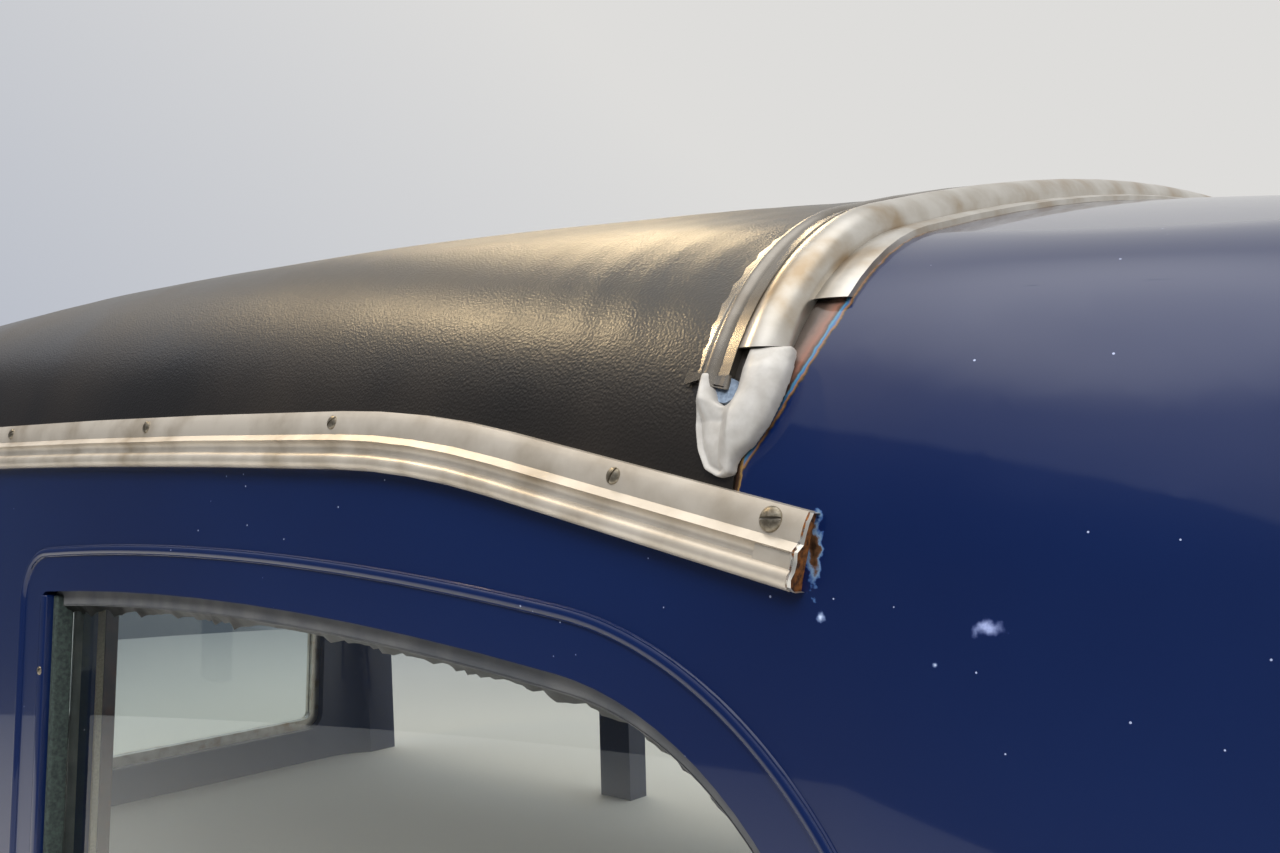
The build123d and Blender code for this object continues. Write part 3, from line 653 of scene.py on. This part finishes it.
def roof_sheet():
    """The covering as one stretched sheet, from moulding to moulding over the roof."""
    across, along, dense_from = 170, 210, 0.8
    bm = bmesh.new()
    bmesh.ops.create_grid(bm, x_segments=along, y_segments=across, size=1)
    grid = np.array([v.co for v in bm.verts])
    # half of the rows lie in the rear fifth, where the folds are
    part = (grid[:, 0] + 1) / 2
    rear_part = dense_from + (2 * part - 1) * (1 - dense_from)
    part = np.where(part < 0.5, 2 * part * dense_from, rear_part)
    x = COVER_FRONT_X + part * (COVER_REAR_X - COVER_FRONT_X)
    hand = np.where(grid[:, 1] < 0, -1.0, 1.0)
    edge = np.stack([x, hand * SIDE_GUESS, cover_line(x)], 1)
    for _ in range(8):
        distance, normal = body_form(edge, PADDING_RISE)
        edge[:, 1] -= distance * hand
    # each row fans out from a line inside the body, from the lower edge up to the middle
    centre_z = 0.45
    low = np.arctan2(edge[:, 2] - centre_z, abs(edge[:, 1]))
    turn = low + (1 - abs(grid[:, 1])) * (pi / 2 - low)
    aim = np.stack([0 * x, hand * np.cos(turn), np.sin(turn)], 1)
    points = np.stack([x, 0 * x, centre_z + 0 * x], 1) + 0.5 * aim
    for _ in range(14):
        distance, normal = body_form(points, PADDING_RISE)
        points -= (distance / (normal * aim).sum(1))[:, None] * aim
    # held flat along its edges, where the mouldings clamp it
    fade = np.clip((1 - abs(grid[:, 1])) / 0.05, 0, 1) * np.clip((x - COVER_FRONT_X) / 0.03, 0, 1)
    fade *= np.clip((COVER_REAR_X - x) / 0.012, 0, 1)
    points += (fade * folds(x, points))[:, None] * normal
    for vertex, point in zip(bm.verts, points):
        vertex.co = point
    bmesh.ops.recalc_face_normals(bm, faces=bm.faces)
    piece = from_bmesh("roof_covering", bm, covering, 60)
    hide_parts("roof_cover")
    wall = piece.modifiers.new("thickness", "SOLIDIFY")
    wall.thickness = COVERING
    wall.offset = -1
    return piece


covering_sheet = roof_sheet()


def screw(bm, centre, axis, radius, turn):
    """Adds a slotted screw with a raised head, its slot turned by an angle: a quarter arc spun
    about its axis, from which a strip between two cuts is sunk."""
    head = bmesh.new()
    rim, dome = 0.0005, 0.42 * radius
    steps = [radians(15 * i) for i in range(7)]
    line = [head.verts.new((radius * sin(a), 0, rim + dome * cos(a))) for a in steps]
    line.append(head.verts.new((radius, 0, -0.0012)))
    edges = [head.edges.new(pair) for pair in zip(line, line[1:])]
    bmesh.ops.spin(
        head, geom=line + edges, axis=(0, 0, 1), angle=2 * pi, steps=40, use_merge=True
    )
    bmesh.ops.remove_doubles(head, verts=head.verts, dist=1e-6)
    bmesh.ops.recalc_face_normals(head, faces=head.faces)
    half = 0.11 * radius
    for side in (-half, half):
        bmesh.ops.bisect_plane(
            head, geom=head.verts[:] + head.edges[:] + head.faces[:], plane_co=(side, 0, 0),
            plane_no=(1, 0, 0),
        )
    slot = [
        f for f in head.faces
        if abs(f.calc_center_median().x) < half and f.normal.z > 0.3
    ]
    sunk = bmesh.ops.extrude_face_region(head, geom=slot)["geom"]
    bmesh.ops.delete(head, geom=slot, context="FACES_ONLY")
    for part in sunk:
        if isinstance(part, bmesh.types.BMVert):
            part.co.z = rim - 0.06 * radius
    # the slot runs along the strip, but for its turn
    across = axis.cross(Vector((1, 0, 0))).normalized()
    along = across.cross(axis)
    basis = Matrix((-across, along, axis)).transposed().to_4x4()
    head.transform(Matrix.Translation(centre) @ basis @ Matrix.Rotation(turn, 4, "Z"))
    mesh = bpy.data.meshes.new("screw")
    head.to_mesh(mesh)
    head.free()
    bm.from_mesh(mesh)
    bpy.data.meshes.remove(mesh)


def moulding_screws(hand, name):
    """Screws along the side moulding's flange, the rear one larger."""
    chance = random.Random(7)
    bm = bmesh.new()
    axis = SIDE_OUT * cos(FLANGE_TILT) + SIDE_UP * sin(FLANGE_TILT)
    axis.y *= -hand
    places = [0.7357, 0.6647, 0.4899, 0.3202] + [0.150 - 0.170 * i for i in range(7)]
    for x in places:
        top = float(cover_line(x)) + COVER_TUCK
        spot = on_side(x, top - FLANGE_DOWN, FLANGE_OUT, hand)
        if x == places[0]:
            screw(bm, spot, axis, END_SCREW_R, 0.05)
        else:
            screw(bm, spot, axis, SCREW_R, chance.uniform(0.4, 2.6))
    return from_bmesh(name, bm, nickel)


moulding_screws(-1, "side_moulding_screws_left")
moulding_screws(1, "side_moulding_screws_right")


def front_screws():
    """Screws through the front cross moulding's crown."""
    chance = random.Random(3)
    bm = bmesh.new()
    places = [(COVER_FRONT_X, 0.17 * i, 0.7) for i in range(-2, 3)]
    points, normals = seat(places, PADDING_RISE, 0.0066)
    for point, normal in zip(points, normals):
        screw(bm, Vector(point), Vector(normal), SCREW_R, chance.uniform(0.0, pi))
    return from_bmesh("front_moulding_screws", bm, nickel)


front_screws()


def moulding_end(hand, side):
    """The side moulding's cut rear end: a bright folded lip round its rusted core."""
    run = (cos(MOULDING_FALL), -sin(MOULDING_FALL))
    rise = (sin(MOULDING_FALL), cos(MOULDING_FALL))
    for name, material, inset, start, length in (
        ("lip", worn_edge, 0.0, -0.0006, 0.0026),
        ("core", rust, 0.0017, -0.0004, 0.0010),
    ):
        bm = bmesh.new()
        face = bm.faces.new([bm.verts.new((out, up, 0)) for out, up in MOULDING_SECTION])
        if inset:
            bmesh.ops.inset_region(bm, faces=[face], thickness=inset, use_boundary=True)
            bmesh.ops.delete(bm, geom=[f for f in bm.faces if f != face], context="FACES")
        else:
            bmesh.ops.inset_region(bm, faces=[face], thickness=0.0018, use_boundary=True)
            bmesh.ops.delete(bm, geom=[face], context="FACES_ONLY")
        grown = bmesh.ops.extrude_face_region(bm, geom=bm.faces[:])["geom"]
        for part in grown:
            if isinstance(part, bmesh.types.BMVert):
                part.co.z = length
        bmesh.ops.remove_doubles(bm, verts=bm.verts, dist=1e-6)
        if not inset:
            edges = [e for e in bm.edges if min(v.co.z for v in e.verts) > 0.9 * length]
            bmesh.ops.bevel(
                bm, geom=edges, offset=0.0005, segments=3, profile=0.5, affect="EDGES",
                material=-1,
            )
        else:
            bmesh.ops.subdivide_edges(bm, edges=bm.edges[:], cuts=2, use_grid_fill=True)
        for vertex in bm.verts:
            out, up, along = vertex.co
            along += start
            if inset and vertex.co.z > 0.5 * length:
                along += 0.0005 * noise.noise((out * 900, up * 500, 0))
            vertex.co = on_side(
                MOULDING_END[0] + along * run[0] + up * rise[0],
                MOULDING_END[1] + along * run[1] + up * rise[1],
                out,
                hand,
            )
        bmesh.ops.recalc_face_normals(bm, faces=bm.faces)
        from_bmesh(f"moulding_end_{name}_{side}", bm, material)


moulding_end(-1, "left")
moulding_end(1, "right")


def strip_end(hand, side):
    """What the bead strip's cut end shows: the hollow inside the folded sheet, as a near-black
    face of painted shade, and a tab of its front lip that is bent out."""
    bm = bmesh.new()
    slope = (BEAD_HANG[1] - BEAD_HANG[0]) / (BEAD_STRIP_X[1] - BEAD_STRIP_X[0])
    places = [
        (x, BEAD_END - BEAD_HANG[0] - 0.0002 - slope * (x - BEAD_STRIP_X[0]))
        for x, out in HOLLOW_OUTLINE
    ]
    foot, normal = at_height(places, PADDING_RISE, hand)
    corners = []
    for (x, out), point, across in zip(HOLLOW_OUTLINE, foot, normal):
        corners.append(bm.verts.new((x, point[1] + hand * out / abs(across[1]), point[2])))
    face = bm.faces.new(corners)
    grown = bmesh.ops.extrude_face_region(bm, geom=[face])["geom"]
    bmesh.ops.translate(
        bm, vec=(0, 0, 0.0012), verts=[v for v in grown if isinstance(v, bmesh.types.BMVert)]
    )
    bmesh.ops.recalc_face_normals(bm, faces=bm.faces)
    # a near-black face just below the cut end: painted shade in the hollow
    from_bmesh("bead_strip_hollow_" + side, bm, hollow_shade)
    bm = bmesh.new()
    foot, normal = at_height([(x, z) for x, z, out in TAB_OUTLINE], PADDING_RISE, hand)
    corners = [
        bm.verts.new(Vector(point) + out * Vector(across))
        for point, across, (x, z, out) in zip(foot, normal, TAB_OUTLINE)
    ]
    bm.faces.new(corners)
    bmesh.ops.solidify(bm, geom=bm.faces[:], thickness=0.0006)
    bmesh.ops.recalc_face_normals(bm, faces=bm.faces)
    from_bmesh("bead_strip_tab_" + side, bm, bead_metal)


strip_end(-1, "left")


def cast_tip(hand, side):
    """The cast tip: a half-round neck that hooks round a filled notch into a creased lobe."""
    bm = bmesh.new()
    bm.faces.new([bm.verts.new((x, 0, z)) for x, z in TIP_OUTLINE])
    bmesh.ops.bevel(
        bm, geom=bm.verts[:], offset=0.0011, segments=3, profile=0.5, affect="VERTICES",
        material=-1,
    )
    ring = np.array([(v.co.x, v.co.z) for v in bm.faces[:][0].verts])
    grown = bmesh.ops.extrude_face_region(bm, geom=bm.faces[:])["geom"]
    bmesh.ops.translate(
        bm, vec=(0, TIP_BLANK, 0), verts=[v for v in grown if isinstance(v, bmesh.types.BMVert)]
    )
    bmesh.ops.recalc_face_normals(bm, faces=bm.faces)
    # a flat blank is meshed evenly, so that the rounding has points to work on
    mesh = bpy.data.meshes.new("tip_blank")
    bm.to_mesh(mesh)
    bm.free()
    blank = bpy.data.objects.new("tip_blank", mesh)
    bpy.context.scene.collection.objects.link(blank)
    mesher = blank.modifiers.new("even_mesh", "REMESH")
    mesher.mode = "VOXEL"
    mesher.voxel_size = 0.0005
    even = blank.evaluated_get(bpy.context.evaluated_depsgraph_get()).to_mesh()
    bm = bmesh.new()
    bm.from_mesh(even)
    bpy.data.objects.remove(blank)
    co = np.array([v.co for v in bm.verts])
    start, end = ring, np.roll(ring, -1, 0)
    span = end - start
    flat = co[:, None, [0, 2]] - start[None]
    share = np.clip((flat * span).sum(2) / (span**2).sum(1), 0, 1)
    rim_gap = np.linalg.norm(flat - share[..., None] * span, axis=2).min(1)
    swell = np.sqrt(1 - (1 - np.clip(rim_gap / TIP_ROUND, 0, 1)) ** 2)
    height = TIP_RIM + (TIP_RISE - TIP_RIM) * swell
    x, z = co[:, 0], co[:, 2]
    # below the notch the lobe falls away ahead of its crease; above it the neck thins
    crease = TIP_CREASE[0] + (TIP_CREASE[1] - z) * TIP_CREASE[2]
    lower = np.clip((0.601 - z) / 0.006, 0, 1)
    height -= lower * 0.85 * np.clip(crease - x, 0, 0.006) * np.clip(rim_gap / 0.002, 0, 1)
    height *= 1 - 0.35 * np.clip((z - 0.611) / 0.010, 0, 1)
    foot, normal = at_height(co[:, [0, 2]], PADDING_RISE, hand)
    level = np.clip(co[:, 1] / TIP_BLANK, 0, 1) * (height + TIP_SUNK) - TIP_SUNK
    for vertex, point in zip(bm.verts, foot + level[:, None] * normal):
        vertex.co = point
    bmesh.ops.smooth_vert(
        bm, verts=bm.verts, factor=0.5, use_axis_x=True, use_axis_y=True, use_axis_z=True
    )
    bmesh.ops.recalc_face_normals(bm, faces=bm.faces)
    piece = from_bmesh("cast_tip_rounded_" + side, bm, casting, 60)
    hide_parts("cast_tip_" + side)
    # the filling in the notch: a low round plug with a slightly sunk face
    bm = bmesh.new()
    bmesh.ops.create_cone(
        bm, cap_ends=True, segments=32, radius1=0.0056, radius2=0.0048, depth=0.0050
    )
    top = [f for f in bm.faces if f.normal.z > 0.9]
    bmesh.ops.inset_region(bm, faces=top, thickness=0.0008, depth=-0.0004)
    foot, normal = at_height([TIP_PLUG], PADDING_RISE, hand)
    axis = Vector(normal[0])
    place = Matrix.Translation(Vector(foot[0]) - 0.0002 * axis)
    bm.transform(place @ axis.to_track_quat("Z", "Y").to_matrix().to_4x4())
    from_bmesh("cast_tip_plug_" + side, bm, lead)


cast_tip(-1, "left")
cast_tip(1, "right")


def quarter_loop(grow, count=460):
    """Places round the quarter window's outline, moved out by grow, evenly spaced."""
    (x0, x1), y0 = QUARTER_X, QUARTER_SILL
    hub = (QUARTER_CREST[0], QUARTER_CREST[1] - QUARTER_TOP_R)
    line = []
    corners = []
    for x, top, radius in (
        (x1 - QUARTER_REAR_R, True, QUARTER_REAR_R), (x0 + QUARTER_JAMB_R, True, QUARTER_JAMB_R),
        (x0 + QUARTER_JAMB_R, False, QUARTER_JAMB_R), (x1 - QUARTER_SILL_R, False, QUARTER_SILL_R),
    ):
        up = y0 + radius
        if top:
            up = hub[1] + sqrt((QUARTER_TOP_R - radius) ** 2 - (x - hub[0]) ** 2)
        corners.append((x, up, max(radius + grow, 0.001)))
    rear = atan2(corners[0][1] - hub[1], corners[0][0] - hub[0])
    front = atan2(corners[1][1] - hub[1], corners[1][0] - hub[0])
    arcs = (
        (corners[0], 0, rear), ((*hub, QUARTER_TOP_R + grow), rear, front),
        (corners[1], front, pi), (corners[2], pi, 1.5 * pi), (corners[3], 1.5 * pi, 2 * pi),
    )
    for (x, up, radius), first, last in arcs:
        for turn in np.linspace(first, last, 40):
            line.append((x + radius * cos(turn), up + radius * sin(turn)))
    line.append(line[0])
    line = np.array(line)
    length = np.concatenate([[0], np.cumsum(np.linalg.norm(np.diff(line, axis=0), axis=1))])
    even = np.linspace(0, length[-1], count, endpoint=False)
    return np.stack([np.interp(even, length, line[:, 0]), np.interp(even, length, line[:, 1])], 1)


def jamb_strips(hand, side):
    """Strips up the quarter window's front jamb: a painted stop, its screws, a felt channel.
    Places are each strip's front and rear edge, then its back and its face."""
    for name, material, slot, places in (
        ("stop", enamel, "blue_enamel", (0.1915, 0.1990, -0.0115, 0.0006)),
        ("channel", felt, "window_seal", (0.1990, 0.2045, -0.0148, -0.0040)),
    ):
        x0, x1, out0, out1 = places
        bm = bmesh.new()
        bmesh.ops.create_cube(bm, size=1)
        bmesh.ops.scale(bm, vec=(x1 - x0, out1 - out0, JAMB_Z[1] - JAMB_Z[0]), verts=bm.verts)
        bmesh.ops.bevel(
            bm, geom=bm.edges[:], offset=0.0014, segments=4, profile=0.5, affect="EDGES",
            material=-1,
        )
        for vertex in bm.verts:
            x, out, up = vertex.co
            spot = ((x0 + x1) / 2 + x, sum(JAMB_Z) / 2 + up, (out0 + out1) / 2 + out)
            vertex.co = on_side(*spot, hand)
        bmesh.ops.recalc_face_normals(bm, faces=bm.faces)
        from_bmesh(f"quarter_jamb_{name}_{side}", bm, material)
    bm = bmesh.new()
    axis = Vector((SIDE_OUT.x, -hand * SIDE_OUT.y, SIDE_OUT.z))
    for up in (0.14, 0.295, 0.45):
        screw(bm, on_side(0.1952, up, 0.0002, hand), axis, 0.0026, 0.7)
    from_bmesh("quarter_jamb_screws_" + side, bm, nickel)


jamb_strips(-1, "left")
jamb_strips(1, "right")


def closed_run(loops):
    """A ring of skin through several closed lines of points, joined back to the first."""
    bm = bmesh.new()
    lines = []
    for points in loops:
        ring = [bm.verts.new(point) for point in points]
        lines.append([bm.edges.new(pair) for pair in zip(ring, ring[1:] + ring[:1])])
    for first, second in zip(lines, lines[1:] + lines[:1]):
        bmesh.ops.bridge_loops(bm, edges=first + second)
    bmesh.ops.recalc_face_normals(bm, faces=bm.faces)
    return bm


def reveal_bead(hand, side):
    """The raised half-round bead round the quarter window, which carries a line of light."""
    # distance from the window's edge, and out from the side
    section = (
        (0.0203, -0.0004), (0.0212, 0.0010), (0.0223, 0.0018), (0.0235, 0.0021), (0.0247, 0.0018),
        (0.0258, 0.0010), (0.0267, -0.0004),
    )
    loops = [[on_side(x, y, out, hand) for x, y in quarter_loop(grow)] for grow, out in section]
    from_bmesh("quarter_reveal_bead_" + side, closed_run(loops), enamel, 60)


reveal_bead(-1, "left")
reveal_bead(1, "right")


def mastic_run(hand, side):
    """Black mastic squeezed out along the quarter glass, with a ragged inner edge."""
    under, inner = quarter_loop(-SEAL_WIDTH + 0.0006), quarter_loop(-SEAL_WIDTH - 0.0030)
    # runs 18 mm wide, with drips of 5 mm on them
    ragged = []
    for x, y in inner:
        runs = 1.2 * noise.noise((x * 55, y * 55, 3.0))
        drips = noise.noise((x * 210, y * 210, 9.0))
        ragged.append(1 + 0.9 * max(0, runs + drips + 0.3))
    edge = under + (inner - under) * np.array(ragged)[:, None]
    loops = []
    for places, out in ((under, -0.0076), (edge, -GLASS_DEPTH + 0.0004), (under, -GLASS_DEPTH)):
        loops.append([on_side(x, y, out, hand) for x, y in places])
    bm = closed_run(loops)
    from_bmesh("quarter_mastic_" + side, bm, mastic, 50)


mastic_run(-1, "left")
mastic_run(1, "right")


def camera():
    """The camera, at the photograph's eye point."""
    data = bpy.data.cameras.new("camera")
    data.lens = LENS
    data.sensor_width = 36
    data.clip_start = 0.01
    eye = bpy.data.objects.new("camera", data)
    eye.location = EYE
    eye.rotation_euler = EYE_TURN
    bpy.context.scene.collection.objects.link(eye)
    bpy.context.scene.camera = eye


def lamp(name, place, aim, size, power, colour="#ffffff", glossy=True):
    """A soft rectangular lamp. One that isn't glossy lights, but isn't mirrored."""
    data = bpy.data.lights.new(name, "AREA")
    data.shape = "RECTANGLE"
    data.size, data.size_y = size
    data.energy = power
    data.color = hex_colour(colour)[:3]
    piece = bpy.data.objects.new(name, data)
    piece.location = place
    piece.rotation_euler = (Vector(aim) - Vector(place)).to_track_quat("-Z", "Y").to_euler()
    piece.visible_glossy = glossy
    bpy.context.scene.collection.objects.link(piece)


def studio_floor():
    """Matt floor, pale where the object stands and darker outwards: a painted pool of light."""
    material, tree, body, place = shader("studio_floor_painted_light_pool", roughness=0.9)
    reach = add(tree, "VectorMath", {0: place}, operation="LENGTH")
    share = add(
        tree, "MapRange", {"Value": reach.outputs["Value"], "From Min": 0.9, "From Max": FLOOR_R}
    )
    # pale in the middle and darker outwards: a painted pool of light round the object
    tone = add(
        tree, "ValToRGB", {"Fac": share.outputs[0]}, [(0.0, "#cccbc8"), (1.0, "#8a8d92")]
    )
    tree.links.new(tone.outputs[0], body.inputs["Base Color"])
    return material


def studio():
    """Floor, surroundings and lamps."""
    bm = bmesh.new()
    bmesh.ops.create_circle(bm, cap_ends=True, segments=96, radius=FLOOR_R)
    mesh = bpy.data.meshes.new("floor")
    bm.to_mesh(mesh)
    bm.free()
    floor = bpy.data.objects.new("floor", mesh)
    bpy.context.scene.collection.objects.link(floor)
    mesh.materials.append(studio_floor())
    world = bpy.data.worlds.new("studio")
    bpy.context.scene.world = world
    world.use_nodes = True
    tree = world.node_tree
    tree.nodes.clear()
    place = add(tree, "TexCoord").outputs["Generated"]
    # a pale half and a slate half, whose border the enamel mirrors
    side = add(tree, "VectorMath", {0: place, 1: PALE_SIDE}, operation="DOT_PRODUCT")
    level = add(tree, "MapRange", {"Value": side.outputs["Value"], "From Min": -1.0})
    tone = add(
        tree,
        "ValToRGB",
        {"Fac": level.outputs[0]},
        [(0.0, "#3f434b"), (0.485, "#5a5f69"), (0.505, "#b9bec9"), (0.72, "#dedddb")],
    )
    # soft light from above, brightest overhead
    upward = add(tree, "SeparateXYZ", {"Vector": place})
    ceiling = add(
        tree,
        "MapRange",
        {
            "Value": upward.outputs["Z"],
            "From Min": 0.78,
            "From Max": 0.97,
            "To Min": 1,
            "To Max": 3,
        },
        interpolation_type="SMOOTHSTEP",
    )
    background = add(
        tree, "Background", {"Color": tone.outputs[0], "Strength": ceiling.outputs[0]}
    )
    add(tree, "OutputWorld", {"Surface": background.outputs[0]})
    # soft lamps that nothing mirrors, then two warm ones that gleam in the covering
    lamp("key_softbox", (1.6, -2.8, 2.6), (0.5, -0.4, 0.4), (2.6, 1.6), 145, glossy=False)
    lamp("fill_softbox", (-2.8, -2.2, 2.4), (0.0, -0.5, 0.5), (2.0, 2.0), 25, glossy=False)
    lamp("rear_softbox", (3.4, 1.2, 2.8), (0.7, 0.0, 0.5), (2.4, 1.6), 20, glossy=False)
    lamp("warm_lamp_far", (-0.98, 0.77, 2.08), (0.595, -0.576, 0.676), (0.8, 0.3), 9, "#ffe2b0")
    lamp("warm_lamp_near", (-1.2, -0.9, 2.39), (0.571, -0.62, 0.641), (0.24, 0.09), 11, "#ffe2b0")


camera()
studio()
bpy.context.scene.view_settings.view_transform = "Standard"
